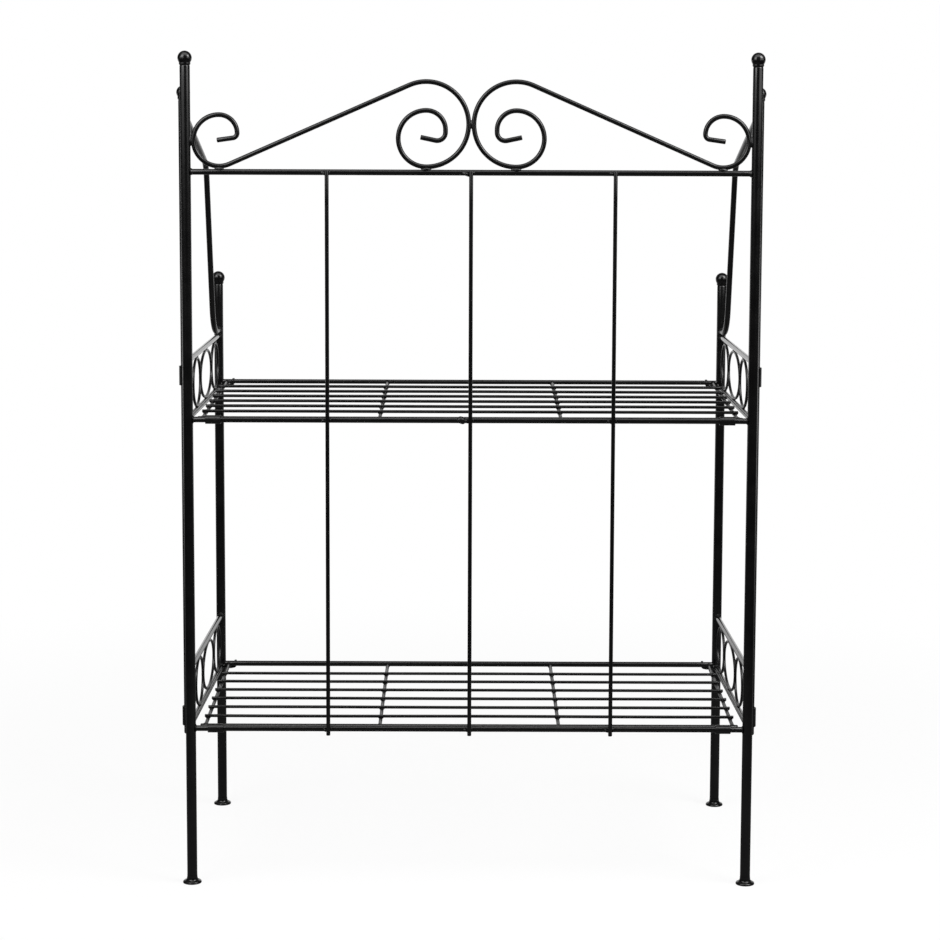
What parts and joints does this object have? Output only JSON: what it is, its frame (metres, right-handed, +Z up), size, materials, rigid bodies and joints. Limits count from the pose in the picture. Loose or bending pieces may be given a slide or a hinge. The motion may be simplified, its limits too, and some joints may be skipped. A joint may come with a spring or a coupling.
{
  "type": "plant stand",
  "caption": "Folding plant stand of black steel rod and tube: a scrolled back panel, hinged ring-gallery sides and wire shelves that fold up against the back.",
  "frame": {"origin": "on the floor, under the middle of the stand's bounding box", "axes": "+Z up, +X to the viewer's right as seen from the tall scrolled panel, +Y from that panel to the short front posts"},
  "size_m": [0.6006, 0.3194, 0.8658],
  "materials": {
    "back_post_left": "black satin powder coat",
    "back_finial_left": "black satin powder coat",
    "back_foot_left": "black satin powder coat",
    "back_post_right": "black satin powder coat",
    "back_finial_right": "black satin powder coat",
    "back_foot_right": "black satin powder coat",
    "top_rail": "black satin powder coat",
    "upper_shelf_rail": "black satin powder coat",
    "lower_shelf_rail": "black satin powder coat",
    "upright_left": "black satin powder coat",
    "upright_centre": "black satin powder coat",
    "upright_right": "black satin powder coat",
    "scroll_left": "black satin powder coat",
    "scroll_right": "black satin powder coat",
    "hinge_sleeve_left_upper": "black satin powder coat",
    "hinge_sleeve_left_lower": "black satin powder coat",
    "hinge_sleeve_right_upper": "black satin powder coat",
    "hinge_sleeve_right_lower": "black satin powder coat",
    "left_rear_post": "black satin powder coat",
    "left_rear_finial": "black satin powder coat",
    "left_front_post": "black satin powder coat",
    "left_front_finial": "black satin powder coat",
    "left_front_foot": "black satin powder coat",
    "left_sweep_rail": "black satin powder coat",
    "left_upper_gallery_top": "black satin powder coat",
    "left_upper_gallery_bottom": "black satin powder coat",
    "left_upper_rings": "black satin powder coat",
    "left_upper_hook": "black satin powder coat",
    "left_lower_gallery_top": "black satin powder coat",
    "left_lower_gallery_bottom": "black satin powder coat",
    "left_lower_rings": "black satin powder coat",
    "left_lower_hook": "black satin powder coat",
    "right_rear_post": "black satin powder coat",
    "right_rear_finial": "black satin powder coat",
    "right_front_post": "black satin powder coat",
    "right_front_finial": "black satin powder coat",
    "right_front_foot": "black satin powder coat",
    "right_sweep_rail": "black satin powder coat",
    "right_upper_gallery_top": "black satin powder coat",
    "right_upper_gallery_bottom": "black satin powder coat",
    "right_upper_rings": "black satin powder coat",
    "right_upper_hook": "black satin powder coat",
    "right_lower_gallery_top": "black satin powder coat",
    "right_lower_gallery_bottom": "black satin powder coat",
    "right_lower_rings": "black satin powder coat",
    "right_lower_hook": "black satin powder coat",
    "upper_shelf_sleeve_left": "black satin powder coat",
    "upper_shelf_sleeve_right": "black satin powder coat",
    "upper_shelf_grid": "black satin powder coat",
    "upper_shelf_front_rail": "black satin powder coat",
    "upper_shelf_rear_rail": "black satin powder coat",
    "lower_shelf_sleeve_left": "black satin powder coat",
    "lower_shelf_sleeve_right": "black satin powder coat",
    "lower_shelf_grid": "black satin powder coat",
    "lower_shelf_front_rail": "black satin powder coat",
    "lower_shelf_rear_rail": "black satin powder coat"
  },
  "bodies": {
    "back_panel": {"back_post_left": "back_post_left", "back_finial_left": "back_finial_left", "back_foot_left": "back_foot_left", "back_post_right": "back_post_right", "back_finial_right": "back_finial_right", "back_foot_right": "back_foot_right", "top_rail": "top_rail", "upper_shelf_rail": "upper_shelf_rail", "lower_shelf_rail": "lower_shelf_rail", "upright_left": "upright_left", "upright_centre": "upright_centre", "upright_right": "upright_right", "scroll_left": "scroll_left", "scroll_right": "scroll_right", "hinge_sleeve_left_upper": "hinge_sleeve_left_upper", "hinge_sleeve_left_lower": "hinge_sleeve_left_lower", "hinge_sleeve_right_upper": "hinge_sleeve_right_upper", "hinge_sleeve_right_lower": "hinge_sleeve_right_lower"},
    "left_side": {"left_rear_post": "left_rear_post", "left_rear_finial": "left_rear_finial", "left_front_post": "left_front_post", "left_front_finial": "left_front_finial", "left_front_foot": "left_front_foot", "left_sweep_rail": "left_sweep_rail", "left_upper_gallery_top": "left_upper_gallery_top", "left_upper_gallery_bottom": "left_upper_gallery_bottom", "left_upper_rings": "left_upper_rings", "left_upper_hook": "left_upper_hook", "left_lower_gallery_top": "left_lower_gallery_top", "left_lower_gallery_bottom": "left_lower_gallery_bottom", "left_lower_rings": "left_lower_rings", "left_lower_hook": "left_lower_hook"},
    "right_side": {"right_rear_post": "right_rear_post", "right_rear_finial": "right_rear_finial", "right_front_post": "right_front_post", "right_front_finial": "right_front_finial", "right_front_foot": "right_front_foot", "right_sweep_rail": "right_sweep_rail", "right_upper_gallery_top": "right_upper_gallery_top", "right_upper_gallery_bottom": "right_upper_gallery_bottom", "right_upper_rings": "right_upper_rings", "right_upper_hook": "right_upper_hook", "right_lower_gallery_top": "right_lower_gallery_top", "right_lower_gallery_bottom": "right_lower_gallery_bottom", "right_lower_rings": "right_lower_rings", "right_lower_hook": "right_lower_hook"},
    "upper_shelf": {"upper_shelf_sleeve_left": "upper_shelf_sleeve_left", "upper_shelf_sleeve_right": "upper_shelf_sleeve_right", "upper_shelf_grid": "upper_shelf_grid", "upper_shelf_front_rail": "upper_shelf_front_rail", "upper_shelf_rear_rail": "upper_shelf_rear_rail"},
    "lower_shelf": {"lower_shelf_sleeve_left": "lower_shelf_sleeve_left", "lower_shelf_sleeve_right": "lower_shelf_sleeve_right", "lower_shelf_grid": "lower_shelf_grid", "lower_shelf_front_rail": "lower_shelf_front_rail", "lower_shelf_rear_rail": "lower_shelf_rear_rail"}
  },
  "joints": [
    {"name": "upper_shelf_fold", "type": "hinge", "parent": "back_panel", "child": "upper_shelf", "pos_m": [0, -0.15, 0.49], "axis": [1, 0, 0], "range_deg": [0, 85]},
    {"name": "lower_shelf_fold", "type": "hinge", "parent": "back_panel", "child": "lower_shelf", "pos_m": [0, -0.15, 0.1656], "axis": [1, 0, 0], "range_deg": [0, 85]},
    {"name": "left_side_swing", "type": "hinge", "parent": "back_panel", "child": "left_side", "pos_m": [-0.293, -0.13786, 0.35], "axis": [0, 0, 1], "range_deg": [0, 135]},
    {"name": "right_side_swing", "type": "hinge", "parent": "back_panel", "child": "right_side", "pos_m": [0.293, -0.13786, 0.35], "axis": [0, 0, -1], "range_deg": [0, 135]}
  ]
}
